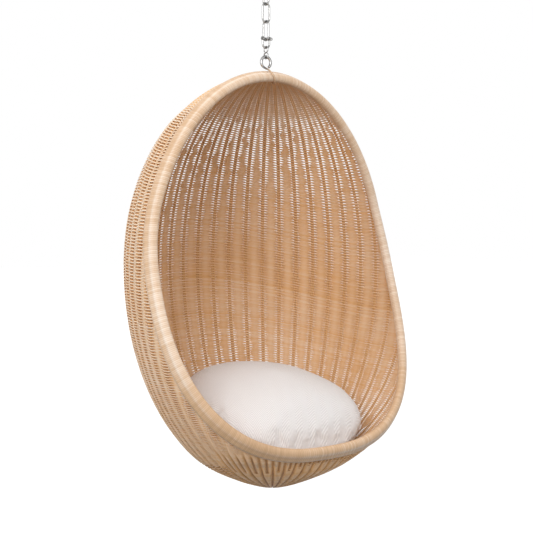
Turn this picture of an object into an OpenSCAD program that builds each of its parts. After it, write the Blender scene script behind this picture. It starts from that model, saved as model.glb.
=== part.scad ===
// Hanging egg chair: a woven cane shell on a wrapped rim, hung from a ceiling swivel by a chain.
// Millimetres. The origin is the centre of the ceiling plate's top face, +Z is up, and the chair
// opens towards -Y.

/* [Shell] */
// Height of the egg from its lowest point to its crown
egg_h = 1246; // [1150:1:1300]
// Radius of the egg at its belly
egg_r = 438; // [400:1:470]
// Height of the belly above the lowest point
belly_h = 670; // [600:1:720]
// Roundness of the outline above the belly, 2 is an ellipse
crown_power = 2.06; // [2:0.02:2.3]
// Share by which the outline is drawn in at the lowest point
tip_pinch = 0.3; // [0:0.05:0.4]
// Height over which the outline is drawn in
tip_h = 50; // [40:1:60]
// Thickness of the woven wall
wall = 3.6; // [3:0.1:5]
// Number of stakes round the whole egg
stake_count = 48; // [40:2:52]
// Width of a stake
stake_w = 10; // [8:0.5:12]
// Thickness of a stake
stake_t = 4.5; // [3:0.1:5]
// Diameter of the knot that binds the stakes at the lowest point
knot_d = 100; // [90:1:110]
// Thickness of the knot
knot_t = 7; // [6:0.5:9]

/* [Rim] */
// Depth of the rim's top below the egg's crown
rim_drop = 13; // [8:1:30]
// Height of the rim's foot above the egg's lowest point
rim_foot_h = 142; // [130:1:160]
// Half width of the rim at its widest
rim_half_w = 446; // [410:1:470]
// Height at which the rim is widest
rim_wide_h = 630; // [600:1:660]
// Squareness of the rim's lower half, 2 is an ellipse
rim_low_power = 2.6; // [2.4:0.05:2.8]
// Height at which the rim starts to reach forward
rim_bend_h = 850; // [820:1:880]
// How far the rim's foot stands in front of the egg's axis
rim_reach = 248; // [230:1:260]
// Power of the rim's sweep towards its foot
rim_sweep = 1.57; // [1.45:0.01:1.7]
// Depth of the wrapped rim's oval section
rim_d = 43; // [41:0.5:46]
// Width of the wrapped rim's oval section
rim_w = 30; // [28:0.5:32]
// Turn of the oval section, outwards at its back
rim_turn = 33; // [28:1:38]
// Thickness of the cane wrapping
wrap_t = 1.5; // [1:0.1:2]
// Diameter of the rim's main tube
pole_d = 22; // [20:0.5:23]
// Wall of the rim's main tube
pole_wall = 2.5; // [1.5:0.1:3]
// Diameter of the cane pole that the weave ends on
edge_pole_d = 12; // [11:0.5:13]

/* [Cushion] */
// Diameter of the seat cushion
cushion_d = 590; // [560:2:600]
// Height of the cushion's crown above its edge
cushion_crown = 130; // [120:1:136]
// Depth of the cushion below its edge, before it beds into the bowl
cushion_sink = 186; // [178:1:192]
// Share of the thickness left at the drawn-in edge
cushion_edge = 0.34; // [0.28:0.02:0.4]
// Height of the cushion's middle above the egg's lowest point
cushion_h = 224; // [220:1:234]
// Height of the cushion's flat underside above the egg's lowest point
cushion_foot = 64; // [60:1:80]
// How far the cushion's middle lies behind the egg's axis
cushion_back = 16; // [14:1:34]
// Lean of the cushion, raised at its back
cushion_lean = 13; // [10:1:16]
// Thickness of the cushion's cover
cover_t = 3; // [2:0.5:4]

/* [Chain and hardware] */
// Thickness of the chain's wire
link_wire = 5; // [4.5:0.1:5.5]
// Inner length of a chain link
link_inner_l = 54; // [48:1:60]
// Inner width of a chain link
link_inner_w = 20; // [18:0.5:24]
// Diameter of the shackle's pin
pin_d = 6; // [5.5:0.1:6.5]
// Inner width of the shackle
shackle_inner_w = 20; // [19:0.5:22]
// Distance from the shackle's pin to the middle of its bow
shackle_l = 29; // [27:0.5:33]
// Thickness of the shackle's rod
shackle_rod = 5; // [4.5:0.1:5.5]
// Thickness of the S-hook's wire
s_wire = 4; // [3.5:0.1:4.5]
// Middle radius of the S-hook's two loops
s_loop_r = 9.2; // [9:0.1:10]
// Thickness of the hanger's rod
hanger_rod = 8; // [7.5:0.1:8.5]
// Middle radius of the hanger's ring
hanger_ring_r = 17.5; // [16.5:0.5:19]
// Free height between the hanger's ring and the rim
hanger_gap = 7; // [6:0.5:10]
// How far the hanging line lies behind the egg's axis
hang_back = 30; // [20:1:32]

/* [Ceiling swivel] */
// Diameter of the ceiling plate
plate_d = 84; // [80:1:100]
// Thickness of the ceiling plate
plate_t = 5; // [4:0.5:6]
// Diameter of the circle that the screw holes lie on
screw_pcd = 62; // [60:1:66]
// Diameter of the screw holes
screw_hole_d = 6; // [5:0.1:7]
// Outer diameter of the bearing housing
housing_d = 36; // [35:0.5:40]
// Thickness of the housing's wall
housing_wall = 3; // [2.5:0.1:3.5]
// Thickness of the housing's floor
housing_floor = 5; // [4:0.5:6]
// Diameter of the swivel's stem
stem_d = 8; // [7.5:0.1:8.5]
// Diameter of the bearing balls
ball_d = 5; // [4.5:0.1:5.2]
// Number of bearing balls
ball_count = 9; // [6:1:10]
// Thickness of a bearing washer
washer_t = 1.5; // [1:0.1:2]
// Height of the stem's nut
nut_h = 6.5; // [5.5:0.1:7]
// Width of the nut across its flats
nut_flats = 13; // [12:0.5:14]
// Middle radius of the swivel's eye
eye_r = 12; // [11.5:0.5:14]

/* [Hidden] */

// Clearances
run_gap = 0.05;      // round a turning shaft, on the radius
hang_gap = 0.3;      // between one hanging piece and the rod it hangs on
loop_room = 0.6;     // more room between the hanger's turn and the rim
seat_gap = 0.3;      // between pieces that lie on each other
stake_seat = 0.6;    // between the stakes and the wall
foot_lift = 1.5;     // added to the stakes' seat where the wall bends sharply under the rim's foot
pole_seat = 0.4;     // between the poles and the wrapping round them
lip_gap = 0.4;       // between the wrapped rim and the woven wall
soft_gap = 0.2;      // between the cushion and the stakes
rim_room = 4;        // between the cushion and the rim
flare_draw = 18;     // how far the wall stands inside the plain egg at the rim's foot
flare_reach = 120;   // distance over which the wall leaves the rim's flare

// Counts of the meshes
RIM_STEPS = 64;
SHELL_ROWS = RIM_STEPS / 2 - 1;
BOWL_ROWS = 6;
SHELL_COLS = 32;

// Heights of the swivel, downwards from the ceiling
housing_h = plate_t + nut_h + 5 + 2 * washer_t + ball_d + housing_floor;
floor_top = -housing_h + housing_floor;
lower_washer_top = floor_top + washer_t;
ball_z = lower_washer_top + run_gap + ball_d / 2;
upper_washer_low = ball_z + ball_d / 2 + run_gap;
nut_low = upper_washer_low + washer_t;
shoulder_t = 3;
eye_z = -housing_h - hang_gap - shoulder_t - eye_r - stem_d / 4;
ball_circle_r = (housing_d / 2 - housing_wall + stem_d / 2) / 2;

// Heights of the chain, each piece hung on the rod above it
link_l = link_inner_l + link_wire;
function next_top(rod_z, rod_r, own_r) = rod_z + rod_r + hang_gap + own_r;
link_1_top = next_top(eye_z - eye_r, stem_d / 2, link_wire / 2);
link_2_top = next_top(link_1_top - link_l, link_wire / 2, link_wire / 2);
link_3_top = next_top(link_2_top - link_l, link_wire / 2, link_wire / 2);
pin_z = next_top(link_3_top - link_l, link_wire / 2, pin_d / 2);
bow_z = pin_z - shackle_l;
s_top = next_top(bow_z, shackle_rod / 2, s_wire / 2);
s_low = s_top - 4 * s_loop_r;
ring_z = next_top(s_low, s_wire / 2, hanger_rod / 2) - hanger_ring_r;

// The rim's top, and how far its oval reaches up and back there
rim_top_h = egg_h - rim_drop;
rim_up = norm([rim_w / 2 * cos(rim_turn), rim_d / 2 * sin(rim_turn)]);
rim_aft = norm([rim_w / 2 * sin(rim_turn), rim_d / 2 * cos(rim_turn)]);
rim_top_z = ring_z - hanger_ring_r - hanger_rod / 2 - hanger_gap - rim_up;
tip_z = rim_top_z - rim_top_h;

// Outline of the egg: radius at a height above its lowest point
function oval(t, p) = pow(max(0, 1 - pow(min(1, abs(t)), p)), 1 / p);
function egg(h) = h > belly_h
    ? egg_r * oval((h - belly_h) / (egg_h - belly_h), crown_power)
    : egg_r * oval((belly_h - h) / belly_h, 2) * (1 - tip_pinch * exp(-pow(h / tip_h, 2)));
function egg_slope(h) = (egg(h + 0.5) - egg(h - 0.5));

// Middle line of the rim: a runs from 0 at its top to 180 at its foot, and on to 360
function rim_h(a) = (rim_top_h + rim_foot_h) / 2 + (rim_top_h - rim_foot_h) / 2 * cos(a);
function rim_half(h) = h > rim_wide_h
    ? rim_half_w * oval((h - rim_wide_h) / (rim_top_h - rim_wide_h), 2)
    : rim_half_w * oval((rim_wide_h - h) / (rim_wide_h - rim_foot_h), rim_low_power);
function rim_front(h) = h > rim_bend_h ? 0
    : rim_reach * pow((rim_bend_h - h) / (rim_bend_h - rim_foot_h), rim_sweep);
function rim_mid(a) = [(a <= 180 ? 1 : -1) * rim_half(rim_h(a)), -rim_front(rim_h(a)), rim_h(a)];
function unit(v) = v / norm(v);
function sum(list) = list * [for (x = list) 1];
// Directions across the rim: back, out, and the oval's long and short axes
function rim_dir(a) = a < 1 || a > 359 ? [1, 0, 0] : abs(a - 180) < 1 ? [-1, 0, 0]
    : unit(rim_mid(a + 0.5) - rim_mid(a - 0.5));
function rim_back(a) = unit([0, 1, (rim_front(rim_h(a) + 1) - rim_front(rim_h(a) - 1)) / 2]);
function rim_out(a) = cross(rim_dir(a), rim_back(a));
function rim_long(a) = cos(rim_turn) * rim_back(a) + sin(rim_turn) * rim_out(a);
function rim_short(a) = cos(rim_turn) * rim_out(a) - sin(rim_turn) * rim_back(a);
rim_length = sum([for (a = [0:5:355]) norm(rim_mid(a + 5) - rim_mid(a))]);
// Where the woven wall ends, behind the rim's oval: side is 1 on the wall's outer face, -1 on its inner face
function lip(a, side) = rim_mid(a) + (rim_d / 2 + lip_gap) * rim_long(a) + side * wall / 2 * rim_short(a);

// Rows of the woven wall: open ones that end on the rim, then closed ones of the bowl.
// Each row runs from its height at the front to its height at the rear.
LAST_ROW = SHELL_ROWS + BOWL_ROWS;
BOWL_POWER = 1.6;    // crowding of the bowl's rows towards the egg's tip
function row_angle(i) = 360 / RIM_STEPS * (i + 1);
lip_foot = lip(180, 1);
row_lips = [for (i = [0:SHELL_ROWS]) lip(row_angle(i), 1)];
function bowl_part(i) = (LAST_ROW + 1 - i) / (BOWL_ROWS + 1);
function open_rear(i) = egg_h * (1 + cos(180 * (i + 1) / (LAST_ROW + 1))) / 2;
function row_front(i) = i <= SHELL_ROWS ? row_lips[i][2] : lip_foot[2] * pow(bowl_part(i), BOWL_POWER);
function row_rear(i) = i <= SHELL_ROWS ? open_rear(i) : let (t = bowl_part(i))
    (open_rear(SHELL_ROWS) * t + lip_foot[2] * (1 - t)) * pow(t, BOWL_POWER);
function row_start(i) = i < SHELL_ROWS ? atan2(row_lips[i][0], -row_lips[i][1]) : 0;

// The wall leaves the plain egg near the rim: samples of how far the rim's lip stands out from it,
// faded out with the square of the distance to them
FLARE_SAMPLES = 2 * RIM_STEPS;
flare_samples = [for (k = [0:FLARE_SAMPLES - 1])
    let (p = lip(360 * (k + 0.5) / FLARE_SAMPLES, 1), r = norm([p[0], p[1]]), e = egg(p[2]))
    [[p[0] / r * e, p[1] / r * e, p[2]], r - e]];
flare_span = rim_length / FLARE_SAMPLES;
function flare(turn, h) = let (
    p = [egg(h) * sin(turn), -egg(h) * cos(turn), h],
    weights = [for (s = flare_samples) flare_span / pow(max(flare_span / 2, norm(p - s[0])), 3)],
    total = sum(weights) + 2 / pow(flare_reach, 2))
    sum([for (k = [0:FLARE_SAMPLES - 1]) weights[k] * flare_samples[k][1]]) / total;
function wall_at(turn, h, r, inset) = let (g = egg_slope(h), n = norm([1, g]))
    [(r - inset / n) * sin(turn), -(r - inset / n) * cos(turn), h + inset * g / n];
wall_rows = [for (i = [0:LAST_ROW]) [for (j = [0:SHELL_COLS]) let (
    turn = row_start(i) + (360 - 2 * row_start(i)) * j / SHELL_COLS,
    back = 1 - abs(2 * j / SHELL_COLS - 1),
    ease = back * back * (3 - 2 * back),
    h = row_front(i) * (1 - ease) + row_rear(i) * ease)
    [turn, h, egg(h) + flare(turn, h)]]];
function mirror_x(p, flip) = [flip ? -p[0] : p[0], p[1], p[2]];
function row_pt(i, j, inset) = i <= SHELL_ROWS && (j == 0 || j == SHELL_COLS)
    ? mirror_x(lip(row_angle(i), 1 - 2 * inset / wall), j > 0)
    : let (w = wall_rows[i][j]) wall_at(w[0], w[1], w[2], inset);

module in_chair() translate([0, -hang_back, tip_z]) children();

// Closed tube round the rim with an oval section
module rim_tube(long_r, short_r, shift, sides) {
    pts = [for (k = [0:RIM_STEPS - 1], s = [0:sides - 1])
        let (a = 360 * k / RIM_STEPS, q = 360 * s / sides)
        rim_mid(a) + (shift + long_r * cos(q)) * rim_long(a) + short_r * sin(q) * rim_short(a)];
    faces = [for (k = [0:RIM_STEPS - 1], s = [0:sides - 1], half = [0, 1])
        let (k2 = (k + 1) % RIM_STEPS, s2 = (s + 1) % sides,
            p = k * sides + s, q = k2 * sides + s, r = k2 * sides + s2, t = k * sides + s2)
        half == 0 ? [p, q, r] : [p, r, t]];
    polyhedron(pts, faces);
}

// Open tube along a list of points, with flat ends
function path_dir(pts, i) = unit(pts[min(i + 1, len(pts) - 1)] - pts[max(i - 1, 0)]);
module rod_along(path, r, sides, side_hint) {
    n = len(path);
    pts = [for (i = [0:n - 1], s = [0:sides - 1])
        let (d = path_dir(path, i), u = unit(cross(d, side_hint[i])), v = cross(d, u), q = 360 * s / sides)
        path[i] + r * (cos(q) * u + sin(q) * v)];
    faces = concat(
        [for (i = [0:n - 2], s = [0:sides - 1], half = [0, 1])
            let (s2 = (s + 1) % sides, a = i * sides + s, b = a + sides, c = (i + 1) * sides + s2,
                e = i * sides + s2)
            half == 0 ? [a, b, c] : [a, c, e]],
        [for (s = [1:sides - 2]) [0, s, s + 1]],
        [for (s = [1:sides - 2]) [(n - 1) * sides, (n - 1) * sides + s + 1, (n - 1) * sides + s]]);
    polyhedron(pts, faces);
}

// One closed link in the XZ plane, its top rod's middle at z = 0
module chain_link() {
    half_w = (link_inner_w + link_wire) / 2;
    straight = link_l - 2 * half_w;
    translate([0, 0, -half_w]) rotate([90, 0, 0])
        rotate_extrude(angle = 180, $fn = 48) translate([half_w, 0]) circle(d = link_wire, $fn = 24);
    translate([0, 0, -half_w - straight]) rotate([-90, 0, 0])
        rotate_extrude(angle = 180, $fn = 48) translate([half_w, 0]) circle(d = link_wire, $fn = 24);
    for (side = [-1, 1])
        translate([side * half_w, 0, -half_w - straight]) cylinder(d = link_wire, h = straight, $fn = 24);
}

// ---- Ceiling swivel ----
module ceiling_plate() color("silver") difference() {
    translate([0, 0, -plate_t]) cylinder(d = plate_d, h = plate_t, $fn = 96);
    for (k = [0:3]) rotate(45 + 90 * k) translate([screw_pcd / 2, 0, -plate_t - 1])
        cylinder(d = screw_hole_d, h = plate_t + 2, $fn = 32);
}

module bearing_housing() color("gainsboro") difference() {
    translate([0, 0, -housing_h]) cylinder(d = housing_d, h = housing_h - plate_t, $fn = 96);
    translate([0, 0, floor_top])
        cylinder(d = housing_d - 2 * housing_wall, h = housing_h, $fn = 96);
    translate([0, 0, -housing_h - 1]) cylinder(d = stem_d + 2 * run_gap, h = housing_floor + 2, $fn = 64);
}

module washer(z) translate([0, 0, z]) difference() {
    cylinder(d = housing_d - 2 * housing_wall - 1, h = washer_t, $fn = 64);
    translate([0, 0, -1]) cylinder(d = stem_d + 2 * run_gap, h = washer_t + 2, $fn = 64);
}
module lower_washer() color("lightsteelblue") washer(floor_top);
module upper_washer() color("lightsteelblue") washer(upper_washer_low);

module bearing_balls() color("white") for (k = [0:ball_count - 1])
    rotate(360 * k / ball_count) translate([ball_circle_r, 0, ball_z]) sphere(d = ball_d, $fn = 32);

module stem_nut() color("silver") translate([0, 0, nut_low]) difference() {
    cylinder(d = nut_flats / cos(30), h = nut_h, $fn = 6);
    translate([0, 0, -1]) cylinder(d = stem_d + 2 * run_gap, h = nut_h + 2, $fn = 64);
}

module swivel_eye() color("silver") {
    stem_top = nut_low + nut_h + 2;
    shoulder_d = 1.8 * stem_d;
    translate([0, 0, -housing_h - hang_gap - shoulder_t])
        cylinder(d = stem_d, h = stem_top + housing_h + hang_gap + shoulder_t, $fn = 64);
    translate([0, 0, -housing_h - hang_gap - shoulder_t])
        cylinder(d = shoulder_d, h = shoulder_t, $fn = 64);
    translate([0, 0, eye_z]) rotate([90, 0, 0])
        rotate_extrude($fn = 64) translate([eye_r, 0]) circle(d = stem_d, $fn = 32);
}

// ---- Chain and shackle ----
module chain_link_1() color("silver") translate([0, 0, link_1_top]) rotate(90) chain_link();
module chain_link_2() color("silver") translate([0, 0, link_2_top]) chain_link();
module chain_link_3() color("silver") translate([0, 0, link_3_top]) rotate(90) chain_link();

ear_t = shackle_rod;
ear_d = pin_d * 1.9;
leg_x = (shackle_inner_w + shackle_rod) / 2;
module shackle_bow() color("silver") difference() {
    union() {
        translate([0, 0, bow_z + leg_x]) rotate([-90, 0, 0])
            rotate_extrude(angle = 180, $fn = 48) translate([leg_x, 0]) circle(d = shackle_rod, $fn = 24);
        for (side = [-1, 1]) {
            translate([side * leg_x, 0, bow_z + leg_x])
                cylinder(d = shackle_rod, h = pin_z - bow_z - leg_x, $fn = 24);
            translate([side * leg_x, 0, pin_z]) rotate([0, 90, 0])
                cylinder(d = ear_d, h = ear_t, center = true, $fn = 48);
        }
    }
    translate([0, 0, pin_z]) rotate([0, 90, 0])
        cylinder(d = pin_d + 2 * run_gap, h = 4 * leg_x, center = true, $fn = 48);
}

module shackle_pin() color("silver") {
    collar_x = leg_x + ear_t / 2 + seat_gap;
    collar_t = 2;
    collar_d = 1.5 * pin_d;
    eye_mid_r = 3.4;
    eye_wire = 2.2;
    translate([0, 0, pin_z]) rotate([0, 90, 0]) {
        translate([0, 0, -leg_x - ear_t / 2 - 1]) cylinder(d = pin_d, h = 2 * leg_x + ear_t + 2, $fn = 48);
        translate([0, 0, collar_x]) cylinder(d = collar_d, h = collar_t, $fn = 48);
    }
    translate([collar_x + collar_t + eye_mid_r, 0, pin_z]) rotate([90, 0, 0])
        rotate_extrude($fn = 48) translate([eye_mid_r, 0]) circle(d = eye_wire, $fn = 24);
}

// Closed S-hook in the YZ plane: over the bow, across the middle, round the hanger's ring
S_STEPS = 40;
S_SWEEP = 305;       // degrees of each of the hook's two turns
S_FROM = 215;        // where the upper turn's free end lies
function s_pt(t) = t < 0.5
    ? let (q = S_FROM - S_SWEEP * t * 2) [0, -s_loop_r * cos(q), s_top - s_loop_r + s_loop_r * sin(q)]
    : let (q = 90 + S_SWEEP * (t * 2 - 1)) [0, -s_loop_r * cos(q), s_low + s_loop_r + s_loop_r * sin(q)];
module s_hook() color("silver")
    rod_along([for (i = [0:S_STEPS]) s_pt(i / S_STEPS)], s_wire / 2, 8, [for (i = [0:S_STEPS]) [1, 0, 0]]);

// ---- Hanger: one bent rod, a ring above and a turn under the rim, up to the inside of the wall ----
loop_x = 17;
loop_gap = hanger_rod / 2 + seat_gap + loop_room;
RING_FROM = -52;
RING_TO = 222;
LOOP_FROM = 100;
LOOP_TO = 334;
RING_STEPS = 18;
NECK_STEPS = 6;
LOOP_STEPS = 22;
ring_leave = 9;          // length of the bend's first handle, along the ring
loop_join = [1, 9, 8];   // and of its second, off the turn's start
ring_end = [hanger_ring_r * cos(RING_TO), 0, ring_z + hanger_ring_r * sin(RING_TO)];
function ring_pt(q) = [hanger_ring_r * cos(q), 0, ring_z + hanger_ring_r * sin(q)];
function loop_pt(q) = let (part = (q - LOOP_FROM) / (LOOP_TO - LOOP_FROM))
    [loop_x * (2 * part - 1), -hang_back, rim_top_z]
    + (rim_d / 2 + loop_gap) * cos(q) * rim_long(0) + (rim_w / 2 + loop_gap) * sin(q) * rim_short(0);
function bend(p0, p1, p2, p3, t) = pow(1 - t, 3) * p0 + 3 * t * pow(1 - t, 2) * p1
    + 3 * t * t * (1 - t) * p2 + pow(t, 3) * p3;
hanger_path = concat(
    [for (k = [0:RING_STEPS]) ring_pt(RING_FROM + (RING_TO - RING_FROM) * k / RING_STEPS)],
    [for (k = [1:NECK_STEPS - 1]) bend(ring_end, ring_end + ring_leave * [-sin(RING_TO), 0, cos(RING_TO)],
        loop_pt(LOOP_FROM) + loop_join, loop_pt(LOOP_FROM), k / NECK_STEPS)],
    [for (k = [0:LOOP_STEPS]) loop_pt(LOOP_FROM + (LOOP_TO - LOOP_FROM) * k / LOOP_STEPS)]);
function hanger_hint(i) = let (t = (i - RING_STEPS) / NECK_STEPS)
    t <= 0 ? [0, 1, 0] : t < 1 ? unit([t, 1 - t, 0]) : [1, 0, 0];
module hanger_hook() color("silver")
    rod_along(hanger_path, hanger_rod / 2, 8, [for (i = [0:len(hanger_path) - 1]) hanger_hint(i)]);

// ---- Rim ----
WRAP_SIDES = 12;
LINING_SIDES = 8;
POLE_SIDES = 6;
module rim_wrap() color("burlywood") in_chair() difference() {
    rim_tube(rim_d / 2, rim_w / 2, 0, WRAP_SIDES);
    rim_tube(rim_d / 2 - wrap_t, rim_w / 2 - wrap_t, 0, LINING_SIDES);
}
// Inner half sizes of the wrapping, across the flats of its sides
inner_long = (rim_d / 2 - wrap_t) * cos(180 / LINING_SIDES);
inner_short = (rim_w / 2 - wrap_t) * cos(180 / LINING_SIDES);
pole_shift = sqrt((pow(inner_long, 2) - pow(inner_short, 2))
    * (1 - pow((pole_d / 2 + pole_seat) / inner_short, 2)));
module rim_pole() color("gray") in_chair() difference() {
    rim_tube(pole_d / 2, pole_d / 2, -pole_shift, POLE_SIDES);
    rim_tube(pole_d / 2 - pole_wall, pole_d / 2 - pole_wall, -pole_shift, POLE_SIDES);
}
module edge_pole() color("peru") in_chair()
    rim_tube(edge_pole_d / 2, edge_pole_d / 2, inner_long - edge_pole_d / 2 - pole_seat, POLE_SIDES);

// ---- Woven wall ----
module woven_shell() color("wheat") in_chair() {
    cols = SHELL_COLS;
    skin = (LAST_ROW + 1) * (cols + 1);
    foot = 2 * skin;
    crown = foot + 2;
    pts = concat(
        [for (inset = [0, wall], i = [0:LAST_ROW], j = [0:cols]) row_pt(i, j, inset)],
        [[0, 0, 0], [0, 0, wall], lip(0, 1), lip(0, -1)]);
    faces = concat(
        [for (side = [0, 1], i = [0:LAST_ROW - 1], j = [0:cols - 1], half = [0, 1])
            let (a = side * skin + i * (cols + 1) + j, b = a + cols + 1,
                three = j < cols / 2 ? (half == 0 ? [a, a + 1, b + 1] : [a, b + 1, b])
                    : (half == 0 ? [a, a + 1, b] : [a + 1, b + 1, b]))
            side == 0 ? three : [three[0], three[2], three[1]]],
        [for (j = [0:cols - 1], half = [0, 1])
            half == 0 ? [crown, j + 1, j] : [crown + 1, skin + j, skin + j + 1]],
        [[crown, 0, skin], [crown, skin, crown + 1],
            [crown, skin + cols, cols], [crown, crown + 1, skin + cols]],
        [for (i = [0:SHELL_ROWS - 1], half = [0, 1])
            let (a = i * (cols + 1), b = a + cols + 1)
            half == 0 ? [a, b, skin + b] : [a, skin + b, skin + a]],
        [for (i = [0:SHELL_ROWS - 1], half = [0, 1])
            let (a = i * (cols + 1) + cols, b = a + cols + 1)
            half == 0 ? [a, skin + b, b] : [a, skin + a, skin + b]],
        [for (j = [0:cols - 1], half = [0, 1]) let (a = LAST_ROW * (cols + 1) + j)
            half == 0 ? [a, a + 1, foot] : [skin + a, foot + 1, skin + a + 1]]);
    polyhedron(pts, faces);
}

// ---- Stakes: upright strips on the inside of the wall's rows, drawn narrow where they meet ----
stake_step = 360 / stake_count;
function stake_turn(k) = stake_step * (k + 0.5);
// Point on the wall's row at any turn, between two of its columns
function on_row(i, turn, inset) = let (
    c = (turn - row_start(i)) / (360 - 2 * row_start(i)) * SHELL_COLS,
    j = max(0, min(SHELL_COLS - 1, floor(c))))
    row_pt(i, j, inset) * (1 - c + j) + row_pt(i, j + 1, inset) * (c - j);
// Height of the rim's lip at a turn, and the topmost row that a stake reaches below it
lip_heights = [for (i = [SHELL_ROWS:-1:0]) [row_start(i), row_lips[i][2]]];
STAKE_END = 14;      // height kept free of stakes under the lip
STAKE_SHARE = 0.8;   // most of the space between two stakes that one may take
FOOT_TURN = 110;     // stakes further than this from the rear pass under the rim's foot
FOOT_ROWS = 5;       // rows on each side of the foot where those stakes are lifted
FLARE_ROWS = 9;      // rows above the foot where a stake follows each row, not each second one
FLARE_ROW = SHELL_ROWS - FLARE_ROWS;
function stake_top(turn) = let (
    side = 180 - abs(turn - 180),
    below = lookup(side, lip_heights) - STAKE_END,
    fits = [for (i = [1:LAST_ROW])
        if (on_row(i, turn, 0)[2] < below
            && (i >= SHELL_ROWS || side > row_start(i) + STAKE_END / egg(row_rear(i)) * 180 / PI)) i])
    fits[0];
module stake(turn) {
    top = stake_top(turn);
    rows = concat([for (i = [top:2:FLARE_ROW - 1]) i], [for (i = [max(top, FLARE_ROW):LAST_ROW]) i]);
    at_foot = abs(turn - 180) > FOOT_TURN;
    pts = [for (i = rows, c = [[-1, 0], [1, 0], [1, 1], [-1, 1]])
        let (deep = wall + stake_seat + (at_foot && abs(i - SHELL_ROWS) < FOOT_ROWS ? foot_lift : 0),
            r = egg(on_row(i, turn, 0)[2]),
            half = min(stake_w, r * stake_step * PI / 180 * STAKE_SHARE) / 2)
        on_row(i, turn + c[0] * half / r * 180 / PI, deep + stake_t * c[1])];
    n = len(rows);
    faces = concat(
        [for (i = [0:n - 2], s = [0:3], half = [0, 1])
            let (s2 = (s + 1) % 4, a = 4 * i + s, b = a + 4, c = 4 * i + 4 + s2, e = 4 * i + s2)
            half == 0 ? [a, c, b] : [a, e, c]],
        [[0, 2, 1], [0, 3, 2], [4 * n - 4, 4 * n - 3, 4 * n - 2], [4 * n - 4, 4 * n - 2, 4 * n - 1]]);
    polyhedron(pts, faces);
}
module stakes(from, to) color("tan") in_chair() for (k = [0:stake_count - 1])
    if (stake_turn(k) > from && stake_turn(k) < to) stake(stake_turn(k));
module stakes_back() stakes(142, 218);
module stakes_right() stakes(88, 142);
module stakes_left() stakes(218, 272);
module stakes_front() {
    stakes(0, 88);
    stakes(272, 360);
}

// Height of the stakes' inner face at a radius, along the rear of the wall's rows
function stake_bed(r, gap) = lookup(r, [for (i = [LAST_ROW:-1:round(SHELL_ROWS / 2)])
    let (p = row_pt(i, SHELL_COLS / 2, wall + stake_seat + stake_t + gap)) [norm([p[0], p[1]]), p[2]]]);
KNOT_STEPS = 6;
KNOT_DROP = 0.55;    // share of the knot's thickness lost towards its edge
module base_knot() color("tan") in_chair() {
    radii = [for (k = [0:KNOT_STEPS]) knot_d / 2 * k / KNOT_STEPS];
    rotate_extrude($fn = 48) polygon(concat(
        [for (r = radii) [r, stake_bed(r, seat_gap)]],
        [for (k = [KNOT_STEPS:-1:0]) [radii[k],
            stake_bed(radii[k], seat_gap) + knot_t * (1 - KNOT_DROP * pow(k / KNOT_STEPS, 3))]]));
}

// ---- Cushion: crowned, drawn in round its edge, bedded in the bowl and against the rim ----
cushion_bed = seat_gap + soft_gap;
rim_bed = rim_aft + soft_gap + rim_room;
FRONT_BLEND = 36;    // length over which the front is eased against the rim
ROUND_POWER = 0.72;  // fullness of the plan from the crown outwards
CROWN_POWER = 0.86;  // fullness of the upper half towards its edge
SINK_POWER = 0.55;   // fullness of the lower half towards its edge
CORNER_SWELL = 0.012;
CUSHION_ROUND = 32;
COVER_STEPS = 16;
LINING_STEPS = 9;
// q runs from 0 at the crown to 180 under the cushion, with the drawn-in edge at 90
function cushion_pt(turn, q, inset) = let (
    out = pow(sin(q), ROUND_POWER),
    r = (cushion_d / 2 - inset) * out * (1 + CORNER_SWELL * cos(4 * turn)),
    thick = q < 90 ? (cushion_crown - inset) * pow(cos(q), CROWN_POWER)
        : (inset - cushion_sink) * pow(-cos(q), SINK_POWER),
    t = thick * (1 - cushion_edge * out),
    y = cushion_back - r * cos(turn) * cos(cushion_lean) - t * sin(cushion_lean),
    h = cushion_h - r * cos(turn) * sin(cushion_lean) + t * cos(cushion_lean),
    x = r * sin(turn),
    ahead = y + rim_front(max(h, rim_foot_h)) - rim_bed - inset,
    kept_y = y + (norm([ahead, FRONT_BLEND]) - ahead) / 2,
    draw = flare_draw * max(0, -kept_y / norm([x, kept_y, 1])))
    [x, kept_y, max(h, cushion_foot + 2 * inset, stake_bed(norm([x, kept_y]), cushion_bed + inset + draw))];
module cushion_form(inset, steps, rounds) {
    pts = concat([cushion_pt(0, 0, inset)],
        [for (i = [1:steps - 1], j = [0:rounds - 1]) cushion_pt(360 * j / rounds, 180 * i / steps, inset)],
        [cushion_pt(0, 180, inset)]);
    last = len(pts) - 1;
    faces = concat(
        [for (j = [0:rounds - 1]) [0, 1 + (j + 1) % rounds, 1 + j]],
        [for (i = [0:steps - 3], j = [0:rounds - 1], half = [0, 1])
            let (j2 = (j + 1) % rounds, a = 1 + i * rounds + j, b = a + rounds,
                c = 1 + (i + 1) * rounds + j2, e = 1 + i * rounds + j2)
            half == 0 ? [a, c, b] : [a, e, c]],
        [for (j = [0:rounds - 1]) [last, last - rounds + j, last - rounds + (j + 1) % rounds]]);
    polyhedron(pts, faces);
}
module cushion_cover() color("white") in_chair() difference() {
    cushion_form(0, COVER_STEPS, CUSHION_ROUND);
    cushion_form(cover_t, LINING_STEPS, CUSHION_ROUND);
}
module cushion_core() color("ivory") in_chair() cushion_form(cover_t + seat_gap, LINING_STEPS, CUSHION_ROUND);

ceiling_plate();
bearing_housing();
lower_washer();
bearing_balls();
upper_washer();
stem_nut();
swivel_eye();
chain_link_1();
chain_link_2();
chain_link_3();
shackle_bow();
shackle_pin();
s_hook();
hanger_hook();
rim_wrap();
rim_pole();
edge_pole();
woven_shell();
stakes_back();
stakes_left();
stakes_right();
stakes_front();
base_knot();
cushion_cover();
cushion_core();
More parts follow.
